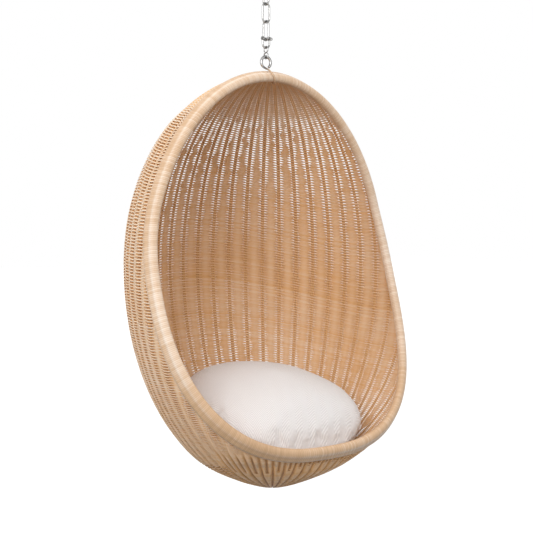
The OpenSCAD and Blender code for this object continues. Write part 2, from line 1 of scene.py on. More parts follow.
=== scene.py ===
import math
import bpy
import numpy as np
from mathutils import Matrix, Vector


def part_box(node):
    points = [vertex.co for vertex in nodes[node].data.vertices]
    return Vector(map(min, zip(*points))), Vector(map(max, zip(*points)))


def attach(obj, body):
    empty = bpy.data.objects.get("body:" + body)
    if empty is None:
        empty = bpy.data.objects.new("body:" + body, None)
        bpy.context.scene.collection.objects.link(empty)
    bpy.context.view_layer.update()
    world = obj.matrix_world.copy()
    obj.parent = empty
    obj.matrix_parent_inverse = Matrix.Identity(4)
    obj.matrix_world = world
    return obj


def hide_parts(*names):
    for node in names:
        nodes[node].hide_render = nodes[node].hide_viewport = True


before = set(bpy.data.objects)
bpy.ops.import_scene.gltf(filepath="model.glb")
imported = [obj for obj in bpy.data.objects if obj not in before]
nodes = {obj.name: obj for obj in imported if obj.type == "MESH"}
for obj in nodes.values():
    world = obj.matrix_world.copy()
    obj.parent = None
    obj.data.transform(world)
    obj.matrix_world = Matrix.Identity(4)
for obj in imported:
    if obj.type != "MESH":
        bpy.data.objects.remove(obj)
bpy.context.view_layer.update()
print("frame loaded:", len(nodes), "nodes")

# Shape of the chair, in millimetres above the egg's lowest point, as the frame has it
eggShape = {
    "height": 1246.0,
    "radius": 438.0,
    "bellyHeight": 670.0,
    "crownPower": 2.06,
    "tipPinch": 0.3,
    "tipHeight": 50.0,
}
rimShape = {
    "topHeight": 1233.0,
    "footHeight": 142.0,
    "halfWidth": 446.0,
    "wideHeight": 630.0,
    "lowPower": 2.6,
    "bendHeight": 850.0,
    "reach": 248.0,
    "sweep": 1.57,
    "long": 43.0,
    "short": 30.0,
    "lean": 33.0,
    "lipGap": 0.4,
}
wallShape = {
    "thick": 3.6,
    "openRows": 31,    # the row that meets the rim's foot
    "lastRow": 38,
    "bowlPower": 1.6,
    "flareReach": 120.0,
    "flareCount": 128,
}
stakeCount = 48
stakeStep = 360 / stakeCount

knotLow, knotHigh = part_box("base_knot")
axisY = (knotLow.y + knotHigh.y) / 2
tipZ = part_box("woven_shell")[0].z
chairPlace = np.array([0.0, axisY, tipZ])


def unit(v):
    return v / np.maximum(np.linalg.norm(v, axis=-1, keepdims=True), 1e-9)


def toMetres(points):
    return points / 1000 + chairPlace


# Repeats the first and the last of some values
def padEnds(values, count=1):
    return np.concatenate([values[:1]] * count + [values] + [values[-1:]] * count)


def addObject(name, data):
    made = bpy.data.objects.new(name, data)
    bpy.context.scene.collection.objects.link(made)
    return made


def smooth(t):
    t = np.clip(t, 0, 1)
    return t * t * (3 - 2 * t)


def oval(t, power):
    return np.maximum(0, 1 - np.minimum(1, np.abs(t)) ** power) ** (1 / power)


def eggRadius(h):
    e = eggShape
    crown = oval((h - e["bellyHeight"]) / (e["height"] - e["bellyHeight"]), e["crownPower"])
    bowl = oval((e["bellyHeight"] - h) / e["bellyHeight"], 2)
    bowl = bowl * (1 - e["tipPinch"] * np.exp(-((h / e["tipHeight"]) ** 2)))
    return e["radius"] * np.where(h > e["bellyHeight"], crown, bowl)


# The rim's middle line: a runs from 0 at its top to 180 at its foot, and on to 360
def rimHeight(a):
    top, foot = rimShape["topHeight"], rimShape["footHeight"]
    return (top + foot) / 2 + (top - foot) / 2 * np.cos(np.radians(a))


def rimHalf(h):
    r = rimShape
    upper = oval((h - r["wideHeight"]) / (r["topHeight"] - r["wideHeight"]), 2)
    lower = oval((r["wideHeight"] - h) / (r["wideHeight"] - r["footHeight"]), r["lowPower"])
    return r["halfWidth"] * np.where(h > r["wideHeight"], upper, lower)


def rimFront(h):
    r = rimShape
    part = np.maximum(0, (r["bendHeight"] - h) / (r["bendHeight"] - r["footHeight"]))
    return r["reach"] * part ** r["sweep"]


def rimMiddle(a):
    a = np.mod(a, 360)
    h = rimHeight(a)
    return np.stack([np.where(a <= 180, 1, -1) * rimHalf(h), -rimFront(h), h], -1)


# The long and the short axis of the rim's section
def rimAxes(a):
    h = rimHeight(a)
    along = unit(rimMiddle(a + 0.5) - rimMiddle(a - 0.5))
    rise = (rimFront(h + 1) - rimFront(h - 1)) / 2
    back = unit(np.stack([0 * rise, 1 + 0 * rise, rise], -1))
    out = np.cross(along, back)
    lean = math.radians(rimShape["lean"])
    longAxis = math.cos(lean) * back + math.sin(lean) * out
    shortAxis = math.cos(lean) * out - math.sin(lean) * back
    return longAxis, shortAxis


# The line where the wall meets the rim
def lip(a):
    longAxis, shortAxis = rimAxes(a)
    reach = rimShape["long"] / 2 + rimShape["lipGap"]
    return rimMiddle(a) + reach * longAxis + wallShape["thick"] / 2 * shortAxis


# The wall leaves the plain egg near the rim, by how far the rim's lip stands out from it
flareAngles = 360 * (np.arange(wallShape["flareCount"]) + 0.5) / wallShape["flareCount"]
flareLips = lip(flareAngles)
flareLipRadius = np.hypot(flareLips[:, 0], flareLips[:, 1])
flareEgg = eggRadius(flareLips[:, 2])
flareStand = flareLipRadius - flareEgg
flareSpots = flareLips.copy()
flareSpots[:, :2] *= (flareEgg / flareLipRadius)[:, None]
rimRound = rimMiddle(np.arange(0, 361, 5.0))
flareSpan = np.linalg.norm(np.diff(rimRound, axis=0), axis=1).sum() / len(flareAngles)


def flare(turn, h):
    t, r = np.radians(turn), eggRadius(h)
    spots = np.stack([r * np.sin(t), -r * np.cos(t), h], -1)
    away = np.linalg.norm(spots[:, None] - flareSpots[None], axis=2)
    weight = flareSpan / np.maximum(flareSpan / 2, away) ** 3
    return weight @ flareStand / (weight.sum(1) + 2 / wallShape["flareReach"] ** 2)


# Points of the wall at a depth below its outer face, and the way out from it
def wallPoints(turn, h, depth):
    turn, h = np.broadcast_arrays(np.asarray(turn, float), np.asarray(h, float))
    slope = eggRadius(h + 0.5) - eggRadius(h - 0.5)
    n = np.hypot(1, slope)
    t = np.radians(turn)
    r = eggRadius(h) + flare(turn, h)
    out = np.stack([np.sin(t) / n, -np.cos(t) / n, -slope / n], -1)
    skin = np.stack([r * np.sin(t), -r * np.cos(t), h], -1)
    return skin - out * np.broadcast_to(depth, h.shape)[:, None], out


lipFoot = float(lip(np.array([180.0]))[0, 2])


def openRear(s):
    return eggShape["height"] * (1 + math.cos(math.pi * (s + 1) / wallShape["lastRow"])) / 2


# Where row s meets the rim, as an angle down from the rim's top
def lipAngle(s):
    return 180 * (s + 1) / (wallShape["openRows"] + 1)


# Row s of the wall: its height at the front, its height at the rear, and the turn it starts at
def rowEnds(s):
    last = wallShape["openRows"]
    if s <= last:
        end = lip(np.array([lipAngle(s)]))[0]
        start = math.degrees(math.atan2(end[0], -end[1])) if s < last else 0.0
        return end[2], openRear(s), start
    t = (wallShape["lastRow"] - s) / (wallShape["lastRow"] - last)
    bowl = t ** wallShape["bowlPower"]
    return lipFoot * bowl, (openRear(last) * t + lipFoot * (1 - t)) * bowl, 0.0


def rowHeights(s, turn):
    front, rear, start = rowEnds(s)
    back = 1 - np.abs(2 * (turn - start) / (360 - 2 * start) - 1)
    ease = smooth(back)
    return front * (1 - ease) + rear * ease


# Angles round a strand: 0 faces out, a quarter turn is its edge, and six sides lie flat in and out
def strandTurns(sides):
    return 2 * np.pi * (np.arange(sides) + (0.5 if sides % 4 else 0)) / sides


# One strand swept along points: out is the way out of the wall, and tone may differ at every corner
def sweep(points, out, halfThick, halfHigh, sides, closed, tone):
    if closed:
        along = unit(np.roll(points, -1, 0) - np.roll(points, 1, 0))
    else:
        along = unit(np.gradient(points, axis=0))
    across = unit(np.cross(along, out))
    up = np.cross(across, along)
    q = strandTurns(sides)
    n = len(points)
    thick = np.broadcast_to(halfThick, n)[:, None, None]
    high = np.broadcast_to(halfHigh, n)[:, None, None]
    rings = points[:, None] + up[:, None] * np.cos(q)[None, :, None] * thick
    rings = rings + across[:, None] * np.sin(q)[None, :, None] * high
    i = np.arange(n if closed else n - 1)[:, None]
    j = np.arange(sides)[None]
    i2, j2 = (i + 1) % n, (j + 1) % sides
    here, beside, corner, above = i * sides + j, i * sides + j2, i2 * sides + j2, i2 * sides + j
    quads = np.stack(np.broadcast_arrays(here, beside, corner, above), -1)
    caps = [] if closed else [np.arange(sides)[::-1], (n - 1) * sides + np.arange(sides)]
    run = np.concatenate([[0], np.cumsum(np.linalg.norm(np.diff(points, axis=0), axis=1))])
    return {
        "points": rings.reshape(-1, 3),
        "quads": quads.reshape(-1, 4),
        "caps": caps,
        "tone": np.broadcast_to(tone, (n, sides)).ravel(),
        "run": np.repeat(run / 1000, sides),
    }


# Many strands become one piece that rides on a body
def meshPiece(name, parts, body, material, place=toMetres):
    points = np.concatenate([p["points"] for p in parts])
    starts = np.cumsum([0] + [len(p["points"]) for p in parts[:-1]])
    quads = np.concatenate([p["quads"] + s for p, s in zip(parts, starts)])
    caps = [c + s for p, s in zip(parts, starts) for c in p["caps"]]
    corners = np.concatenate([quads.ravel()] + caps).astype(np.int32)
    sizes = np.concatenate([np.full(len(quads), 4), [len(c) for c in caps]]).astype(np.int32)
    mesh = bpy.data.meshes.new(name)
    mesh.vertices.add(len(points))
    mesh.vertices.foreach_set("co", place(points).astype(np.float32).ravel())
    mesh.loops.add(len(corners))
    mesh.loops.foreach_set("vertex_index", corners)
    mesh.polygons.add(len(sizes))
    mesh.polygons.foreach_set("loop_start", (np.cumsum(sizes) - sizes).astype(np.int32))
    mesh.polygons.foreach_set("use_smooth", sizes == 4)
    for key in ("tone", "run"):
        values = np.concatenate([p[key] for p in parts]).astype(np.float32)
        mesh.attributes.new(key, "FLOAT", "POINT").data.foreach_set("value", values)
    mesh.update(calc_edges=True)
    mesh.materials.append(material)
    piece = addObject(name, mesh)
    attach(piece, body)
    return piece


def newGroup(name, inputs, outputs):
    group = bpy.data.node_groups.new(name, "ShaderNodeTree")
    for label, kind, value in inputs:
        socket = group.interface.new_socket(label, in_out="INPUT", socket_type="NodeSocket" + kind)
        socket.default_value = value
    for label, kind in outputs:
        group.interface.new_socket(label, in_out="OUTPUT", socket_type="NodeSocket" + kind)
    return group, group.nodes.new("NodeGroupInput"), group.nodes.new("NodeGroupOutput")


def setInputs(node, values):
    for key, value in values.items():
        node.inputs[key].default_value = value


def addNode(tree, kind, settings=None, **values):
    node = tree.nodes.new("ShaderNode" + kind)
    for key, value in (settings or {}).items():
        setattr(node, key, value)
    setInputs(node, values)
    return node


def addMath(tree, operation, a, b):
    node = addNode(tree, "Math", {"operation": operation})
    for socket, value in zip(node.inputs, (a, b)):
        if isinstance(value, (int, float)):
            socket.default_value = value
        else:
            tree.links.new(value, socket)
    return node.outputs[0]


def addMix(tree, factor, a, b, blend="MIX"):
    node = addNode(tree, "Mix", {"data_type": "RGBA", "blend_type": blend})
    for socket, value in zip((node.inputs[0], node.inputs[6], node.inputs[7]), (factor, a, b)):
        if isinstance(value, (int, float, tuple)):
            socket.default_value = value
        else:
            tree.links.new(value, socket)
    return node.outputs[2]


grain = {
    "patchScale": 6.0,
    "patchShare": 0.5,
    "fibreRun": 30.0,
    "fibreTone": 60.0,
    "fibreShare": 0.2,
    "speckScale": 420.0,
    "speckHeight": 0.3,
    "speckGloss": 0.22,
}


# Cane: the tone attribute goes from pale (0) over dark (1) to deep (2), the painted shade, with slow
# patches and fine fibres
def makeCaneGrain():
    inputs = [
        ("Pale", "Color", (0.8, 0.6, 0.4, 1)),
        ("Dark", "Color", (0.5, 0.3, 0.15, 1)),
        ("Deep", "Color", (0.3, 0.15, 0.06, 1)),
        ("Patch Scale", "Float", grain["patchScale"]),
        ("Fibre Share", "Float", grain["fibreShare"]),
    ]
    outputs = [("Color", "Color"), ("Fibre", "Float"), ("Gloss", "Float")]
    group, start, end = newGroup("caneGrainAndPaintedShade", inputs, outputs)
    links = group.links
    tone = addNode(group, "Attribute", {"attribute_name": "tone"})
    run = addNode(group, "Attribute", {"attribute_name": "run"})
    where = addNode(group, "TexCoord")
    patch = addNode(group, "TexNoise", Detail=3.0)
    links.new(where.outputs["Object"], patch.inputs["Vector"])
    links.new(start.outputs["Patch Scale"], patch.inputs["Scale"])
    fibreAt = addNode(group, "CombineXYZ")
    links.new(addMath(group, "MULTIPLY", run.outputs["Fac"], grain["fibreRun"]), fibreAt.inputs["X"])
    links.new(addMath(group, "MULTIPLY", tone.outputs["Fac"], grain["fibreTone"]), fibreAt.inputs["Y"])
    fibre = addNode(group, "TexNoise", Scale=1.0, Detail=5.0, Roughness=0.65)
    links.new(fibreAt.outputs[0], fibre.inputs["Vector"])
    speck = addNode(group, "TexNoise", Scale=grain["speckScale"], Detail=2.0)
    links.new(where.outputs["Object"], speck.inputs["Vector"])
    slow = addMath(group, "SUBTRACT", patch.outputs["Fac"], 0.5)
    slow = addMath(group, "MULTIPLY", slow, grain["patchShare"])
    fine = addMath(group, "SUBTRACT", fibre.outputs["Fac"], 0.5)
    fine = addMath(group, "MULTIPLY", fine, start.outputs["Fibre Share"])
    factor = addMath(group, "ADD", addMath(group, "ADD", tone.outputs["Fac"], slow), fine)
    darkShare = addNode(group, "Clamp")
    links.new(factor, darkShare.inputs[0])
    deepShare = addNode(group, "Clamp")
    links.new(addMath(group, "SUBTRACT", factor, 1.0), deepShare.inputs[0])
    color = addMix(group, darkShare.outputs[0], start.outputs["Pale"], start.outputs["Dark"])
    # Past a tone of 1 the colour goes on into the painted shade colour
    color = addMix(group, deepShare.outputs[0], color, start.outputs["Deep"])
    links.new(color, end.inputs["Color"])
    rough = addMath(group, "MULTIPLY", speck.outputs["Fac"], grain["speckHeight"])
    links.new(addMath(group, "ADD", fine, rough), end.inputs["Fibre"])
    links.new(addMath(group, "MULTIPLY", speck.outputs["Fac"], grain["speckGloss"]), end.inputs["Gloss"])
    return group


wear = {
    "lineScale": 900.0,
    "lineRough": 0.16,
    "spotScale": 140.0,
    "spotFrom": 0.48,
    "spotTo": 0.68,
    "spotRough": 0.22,
    "leastRough": 0.1,
}


# Steel: fine draw lines and duller spots where it was handled
def makeSteelWear():
    inputs = [
        ("Bright", "Color", (0.8, 0.8, 0.8, 1)),
        ("Dull", "Color", (0.5, 0.5, 0.5, 1)),
        ("Scuffs", "Float", 0.5),
    ]
    outputs = [("Color", "Color"), ("Scuff", "Float"), ("Roughness", "Float")]
    group, start, end = newGroup("steelWear", inputs, outputs)
    links = group.links
    where = addNode(group, "TexCoord")
    lines = addNode(group, "TexNoise", Scale=wear["lineScale"], Detail=2.0, Roughness=0.7)
    spots = addNode(group, "TexNoise", Scale=wear["spotScale"], Detail=4.0)
    for texture in (lines, spots):
        links.new(where.outputs["Object"], texture.inputs["Vector"])
    band = addNode(group, "MapRange", {"interpolation_type": "SMOOTHSTEP"})
    setInputs(band, {"From Min": wear["spotFrom"], "From Max": wear["spotTo"]})
    links.new(spots.outputs["Fac"], band.inputs["Value"])
    scuff = addMath(group, "MULTIPLY", band.outputs[0], start.outputs["Scuffs"])
    links.new(addMix(group, scuff, start.outputs["Bright"], start.outputs["Dull"]), end.inputs["Color"])
    links.new(addMath(group, "ADD", lines.outputs["Fac"], scuff), end.inputs["Scuff"])
    rough = addMath(group, "MULTIPLY", lines.outputs["Fac"], wear["lineRough"])
    rough = addMath(group, "ADD", rough, wear["leastRough"])
    rough = addMath(group, "ADD", rough, addMath(group, "MULTIPLY", scuff, wear["spotRough"]))
    links.new(rough, end.inputs["Roughness"])
    return group


caneGrainAndPaintedShade = makeCaneGrain()
steelWear = makeSteelWear()


def newMaterial(name):
    material = bpy.data.materials.new(name)
    material.use_nodes = True
    tree = material.node_tree
    return material, tree, tree.nodes["Principled BSDF"]


def addGroup(tree, group, **values):
    node = tree.nodes.new("ShaderNodeGroup")
    node.node_tree = group
    setInputs(node, values)
    return node


def addBump(tree, shader, height, strength, distance):
    bump = addNode(tree, "Bump", Strength=strength, Distance=distance)
    tree.links.new(height, bump.inputs["Height"])
    tree.links.new(bump.outputs[0], shader.inputs["Normal"])


# Pale, dark and deep colour of each kind of cane; the deep colour is painted shade
caneColors = {
    "weave": ((0.89, 0.73, 0.57), (0.77, 0.44, 0.185), (0.44, 0.20, 0.09)),
    "stake": ((0.84, 0.60, 0.36), (0.74, 0.41, 0.16), (0.44, 0.20, 0.09)),
    "wrap": ((0.90, 0.77, 0.65), (0.66, 0.44, 0.27), (0.48, 0.29, 0.15)),
    "pole": ((0.62, 0.43, 0.25), (0.45, 0.28, 0.14), (0.44, 0.20, 0.09)),
}


def caneMaterial(name, kind, roughness=0.36, coat=0.0):
    material, tree, shader = newMaterial(name)
    pale, dark, deep = caneColors[kind]
    cane = addGroup(tree, caneGrainAndPaintedShade, Pale=(*pale, 1), Dark=(*dark, 1), Deep=(*deep, 1))
    tree.links.new(cane.outputs["Color"], shader.inputs["Base Color"])
    tree.links.new(addMath(tree, "ADD", cane.outputs["Gloss"], roughness), shader.inputs["Roughness"])
    setInputs(shader, {"Coat Weight": coat, "Coat Roughness": 0.3, "Specular IOR Level": 0.35})
    addBump(tree, shader, cane.outputs["Fibre"], strength=0.35, distance=0.0004)
    return material


steel = {
    # The edge colour is a painted reflection: the near black that a round bar's sides mirror
    "edge": (0.035, 0.033, 0.03, 1),    # what a round bar's sides mirror
    "reflectionPower": 0.45,
    "grazing": (0.15, 0.15, 0.15, 1),
    "lacquer": 0.9,    # share of tan lacquer where the tone attribute is 1
}


def steelMaterial(name, bright, dull, scuffs, lacquered=False):
    material, tree, shader = newMaterial(name)
    worn = addGroup(tree, steelWear, Bright=(*bright, 1), Dull=(*dull, 1), Scuffs=scuffs)
    # Layer Weight paints that dark reflection into the Base Color, more where the surface turns away from
    # the view
    edge = addNode(tree, "LayerWeight", Blend=0.5)
    turned = addMath(tree, "POWER", edge.outputs["Facing"], steel["reflectionPower"])
    color = addMix(tree, turned, worn.outputs["Color"], steel["edge"])
    setInputs(shader, {"Metallic": 1.0, "Specular Tint": steel["grazing"]})
    if lacquered:
        tone = addNode(tree, "Attribute", {"attribute_name": "tone"})
        lacquer = addMath(tree, "MULTIPLY", tone.outputs["Fac"], steel["lacquer"])
        color = addMix(tree, lacquer, color, (*caneColors["wrap"][1], 1))
        tree.links.new(addMath(tree, "SUBTRACT", 1.0, lacquer), shader.inputs["Metallic"])
    tree.links.new(color, shader.inputs["Base Color"])
    tree.links.new(worn.outputs["Roughness"], shader.inputs["Roughness"])
    addBump(tree, shader, worn.outputs["Scuff"], strength=0.15, distance=0.0002)
    return material


wovenCane = caneMaterial("wovenCane", "weave")
stakeCane = caneMaterial("stakeCane", "stake")
wrapCane = caneMaterial("wrapCane", "wrap", 0.26, 0.15)
poleCane = caneMaterial("poleCane", "pole")
chainSteel = steelMaterial("chainSteel", (0.72, 0.71, 0.69), (0.36, 0.36, 0.36), 0.35)
hookSteel = steelMaterial("hookSteel", (0.80, 0.79, 0.78), (0.42, 0.42, 0.42), 0.30)
turnSteel = steelMaterial("turnSteel", (0.80, 0.79, 0.78), (0.42, 0.42, 0.42), 0.30, True)
bearingSteel = steelMaterial("bearingSteel", (0.80, 0.80, 0.81), (0.60, 0.60, 0.61), 0.15)
plateSteel = steelMaterial("plateSteel", (0.70, 0.71, 0.71), (0.48, 0.49, 0.50), 0.7)


def paintMaterial(name, color, rubbed):
    material, tree, shader = newMaterial(name)
    worn = addGroup(tree, steelWear, Bright=(*color, 1), Dull=(*rubbed, 1), Scuffs=0.6)
    tree.links.new(worn.outputs["Color"], shader.inputs["Base Color"])
    shader.inputs["Roughness"].default_value = 0.55
    addBump(tree, shader, worn.outputs["Scuff"], strength=0.2, distance=0.0003)
    return material


tubePaint = paintMaterial("tubePaint", (0.10, 0.06, 0.04), (0.17, 0.11, 0.07))
print("materials made")

# Rows of split cane, in millimetres; the tones say how dark each side of a strand is
weave = {
    "pitch": 4.1,
    "pitchLeast": 0.7,
    "pitchMost": 1.5,
    "firstRow": -0.9,
    "lastGap": 0.12,
    "endRoom": 0.4,
    "strandFull": 1.0,
    "strandThick": 2.4,
    "middle": 4.2,
    "swing": 4.7,    # how far a row stands off the stakes
    "flat": 9.0,
    "bulge": 20.0,
    "crownHeight": 1085.0,
    "crownFade": 65.0,
    "crownSwing": 0.12,
    "bowlHeight": 640.0,
    "bowlFade": 100.0,
    "bowlTight": 0.1,
    "unevenHeight": 1300.0,
    "unevenStep": 15.0,
    "unevenFrom": 0.6,
    "unevenFade": 0.25,
    "unevenNarrow": 0.5,
    "unevenSeed": 23,
    "perStake": 12,
    "rowTone": 0.18,
    "rowSpread": 0.11,
    "rowMost": 0.5,
    "innerTone": 0.42,
    # Painted light: the rows are paler towards the crown
    "crownLightTone": -0.4,
    "crownLightFrom": 1030.0,
    "crownLightFade": 120.0,
    # Dirt and painted shade along the edges of each strand, between the rows
    "edgeDirtAndShade": 0.45,
    # Painted shade on the faces of a row that dive behind a stake
    "innerShade": 0.18,
    "outerShade": 1.15,
    "shadeFlat": 15.0,
    "shadeEnd": 27.0,
    # Painted shade on the outside of the rows, darker towards the egg's bottom
    "lowShade": 0.68,
    "lowHeight": 240.0,
    "sides": 6,
    "tuck": 9.0,
    "toneSeed": 7,
    "pieces": 12,
}
# Under the rim's foot the rows lie in ribs, with grooves between them that end in small holes
fan = {
    "turn": 70.0,
    "fade": 6.0,
    "height": 60.0,
    "rise": 3.8,
    "groove": 6.4,
    "grooveWidth": 4.2,
    # Painted shade in the grooves between the ribs
    "grooveShade": 1.1,
    "upperFade": 4.0,
    "holeRadius": 237.0,
    "holeDepth": 9.0,
    "holeLength": 3.0,
    "bottomRadius": 110.0,
    "bottomFade": 30.0,
    "edgeLoss": 0.6,
    "perStake": 20,
}

unevenLevels = int(weave["unevenHeight"] / weave["unevenStep"])
unevenDraw = np.random.default_rng(weave["unevenSeed"]).random((2 * stakeCount, unevenLevels))
uneven = np.clip((unevenDraw - weave["unevenFrom"]) / weave["unevenFade"], 0, 1)


# The stake nearest to each point, and how far the point lies beside it
def nearestStake(turn, r):
    stake = np.floor(turn / stakeStep)
    return stake, (turn / stakeStep - stake - 0.5) * math.radians(stakeStep) * r


# How far the column of gaps on one side of a stake is closed at a height
def closedShare(stake, fromStake, h):
    column = (2 * stake + (fromStake > 0)).astype(int) % len(uneven)
    level = np.clip(h / weave["unevenStep"], 0, uneven.shape[1] - 1.001)
    low = level.astype(int)
    ease = smooth(level - low)
    return uneven[column, low] * (1 - ease) + uneven[column, low + 1] * ease


# The places of the rows, one pitch apart up the rear of the wall
def rowPositions():
    s = np.linspace(weave["firstRow"], wallShape["lastRow"] - weave["lastGap"], 3000)
    rear = np.array([rowEnds(v)[1] for v in s])
    r = eggRadius(rear) + flare(np.full(len(rear), 180.0), rear)
    run = np.concatenate([[0], np.cumsum(np.hypot(np.diff(r), np.diff(rear)))])
    return np.interp(np.arange(0, run[-1], weave["pitch"]), run, s)


def rowTurns(start, perStake):
    fine = stakeStep / perStake
    if start == 0:
        return np.arange(0, 360, fine)
    first = start + weave["endRoom"]
    inner = np.arange(math.ceil(first / fine) * fine, 360 - first, fine)
    return np.concatenate([[start], inner, [360 - start]])


# How far the painted light at the crown has come in, at a height
def crownLightShare(h):
    return smooth((h - weave["crownLightFrom"]) / weave["crownLightFade"])


# Depth of a row in the plain weave, where it swings from one side of the stakes to the other
def plainDepth(turn, r, h, row):
    stake, fromStake = nearestStake(turn, r)
    tight = 1 - weave["unevenNarrow"] * closedShare(stake, fromStake, h)
    bulge = np.minimum(weave["bulge"] * tight, math.radians(stakeStep) * r / 2)
    flat = bulge * weave["flat"] / weave["bulge"]
    swing = smooth((bulge - np.abs(fromStake)) / np.maximum(bulge - flat, 0.1))
    crown = smooth((h - weave["crownHeight"]) / weave["crownFade"])
    bowl = smooth((weave["bowlHeight"] - h) / weave["bowlFade"])
    swing = swing * (1 - (1 - weave["crownSwing"]) * crown) * (1 - weave["bowlTight"] * bowl)
    return weave["middle"] + weave["swing"] * swing * np.where((stake + row) % 2, 1, -1)


# Depth of the ribs under the rim's foot, how far they have taken over, and where the grooves lie
def ribDepth(turn, r, h):
    side = np.abs((turn + 180) % 360 - 180)
    ribbed = smooth((fan["turn"] + fan["fade"] / 2 - side) / fan["fade"])
    ribbed = ribbed * smooth((lipFoot + fan["height"] - h) / fan["height"])
    ribbed = np.maximum(ribbed, smooth((fan["bottomRadius"] - r) / fan["bottomFade"]))
    fromLong = np.abs((turn / stakeStep + 0.5) % 1 - 0.5) * math.radians(stakeStep) * r
    fromShort = np.abs(turn / stakeStep % 1 - 0.5) * math.radians(stakeStep) * r
    beyond = r - fan["holeRadius"]
    upper = smooth(beyond / fan["upperFade"] + 0.5)
    deeper = (fan["holeDepth"] - fan["groove"]) / fan["groove"]
    hole = np.exp(-((beyond / fan["holeLength"]) ** 2)) * deeper
    groove = np.exp(-((fromLong / fan["grooveWidth"]) ** 2))
    groove = np.maximum(groove, (upper + hole) * np.exp(-((fromShort / fan["grooveWidth"]) ** 2)))
    return weave["middle"] - fan["rise"] + fan["groove"] * groove, ribbed, np.minimum(groove, 1)


# Tones at the corners of a row: painted shade where it dives behind a stake and in the grooves, dirt and
# painted shade on its edges
def rowShades(turn, r, h, row, ribbed, groove):
    q = strandTurns(weave["sides"])
    outward = (1 + np.cos(q)) / 2
    stake, fromStake = nearestStake(turn, r)
    reach = (weave["shadeEnd"] - np.abs(fromStake)) / (weave["shadeEnd"] - weave["shadeFlat"])
    reach = smooth(reach)[:, None]
    inside = ((stake + row) % 2)[:, None]
    low = smooth((weave["lowHeight"] - h) / weave["lowHeight"])[:, None]
    ribbed = ribbed[:, None]
    # Painted shade where the row dives behind a stake
    shade = weave["outerShade"] * reach * inside * outward
    shade = shade + weave["innerShade"] * reach * (1 - inside) * (1 - outward)
    # Painted shade in the grooves between the ribs, on the outside
    shade = shade * (1 - ribbed) + fan["grooveShade"] * ribbed * groove[:, None] * outward
    # Dirt and painted shade along the strand's edges, less on the ribs
    edge = weave["edgeDirtAndShade"] * (1 - fan["edgeLoss"] * ribbed) * np.abs(np.sin(q)) ** 4
    # Darker on the inner side; painted shade on the outer side low on the egg
    side = weave["innerTone"] * (1 - outward) + weave["lowShade"] * low * outward
    # Painted light at the crown
    return side + edge + shade + weave["crownLightTone"] * crownLightShare(h)[:, None]


def makeRow(s, nextS, row, tone):
    start = rowEnds(s)[2]
    turn = rowTurns(start, fan["perStake"] if start < fan["turn"] else weave["perStake"])
    h = rowHeights(s, turn)
    bare, out = wallPoints(turn, h, 0.0)
    r = np.hypot(bare[:, 0], bare[:, 1])
    ribs, ribbed, groove = ribDepth(turn, r, h)
    depth = plainDepth(turn, r, h, row) * (1 - ribbed) + ribs * ribbed
    points = bare - out * depth[:, None]
    nextStart = rowEnds(nextS)[2]
    nextH = rowHeights(nextS, np.clip(turn, nextStart, 360 - nextStart))
    pitch = np.abs(nextH - h) / np.hypot(out[:, 0], out[:, 1])
    pitch = np.clip(pitch, weave["pitchLeast"] * weave["pitch"], weave["pitchMost"] * weave["pitch"])
    high = pitch * weave["strandFull"] / 2
    tones = tone + rowShades(turn, r, h, row, ribbed, groove)
    closed = start == 0
    if not closed:
        a = lipAngle(s)
        ends = rimMiddle(np.array([a, 360 - a]))
        first = points[0] + unit(ends[0] - points[0]) * weave["tuck"]
        last = points[-1] + unit(ends[1] - points[-1]) * weave["tuck"]
        points = np.concatenate([[first], points, [last]])
        out, high, tones = padEnds(out), padEnds(high), padEnds(tones)
    return sweep(points, out, weave["strandThick"] / 2, high, weave["sides"], closed, tones)


rows = rowPositions()
toneDraw = np.random.default_rng(weave["toneSeed"]).standard_normal(len(rows))
rowTones = np.clip(weave["rowTone"] + weave["rowSpread"] * toneDraw, 0, weave["rowMost"])
nextRows = np.append(rows[1:], 2 * rows[-1] - rows[-2])
strands = [makeRow(s, nextS, i, rowTones[i]) for i, (s, nextS) in enumerate(zip(rows, nextRows))]
share = np.cumsum([len(p["quads"]) for p in strands])
band = np.minimum((share - 1) * weave["pieces"] // share[-1], weave["pieces"] - 1)
for k in range(weave["pieces"]):
    part = [p for p, b in zip(strands, band) if b == k]
    woven = meshPiece(f"wovenRows_{k + 1}", part, "chair", wovenCane)
    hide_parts("woven_shell")
print("woven rows:", len(rows), "faces:", share[-1])

# Stakes: each a pair of round canes that the rows pass over and under
stakes = {
    "caneWide": 5.8,
    "caneThick": 3.9,
    "sides": 6,
    "spacing": 11.0,
    "crowd": 0.8,
    "tipHeight": 4.0,
    "innerTone": 0.9,
    # Painted shade on the stakes' outer faces, in the gaps behind the rows
    "outerFaceShade": 1.5,
    # Painted light: the stakes are paler towards the crown
    "crownPaintedLight": 0.6,
    "toneSpread": 0.25,
    "toneSeed": 11,
}
# Each group of stakes: the frame's node and the turns between which its stakes lie
stakeGroups = {
    "stakesBack": ("stakes_back", 142, 218),
    "stakesLeft": ("stakes_left", 218, 270),
    "stakesRight": ("stakes_right", 90, 142),
    "stakesFront": ("stakes_front", -90, 90),
}


# Height at which a stake meets the rim's lip
def stakeTop(turn):
    a = np.linspace(0.5, 180, 400)
    p = lip(a)
    lipTurn = np.degrees(np.arctan2(p[:, 0], -p[:, 1]))
    side = min(turn, 360 - turn)
    return float(np.interp(side, lipTurn[::-1], p[::-1, 2]))


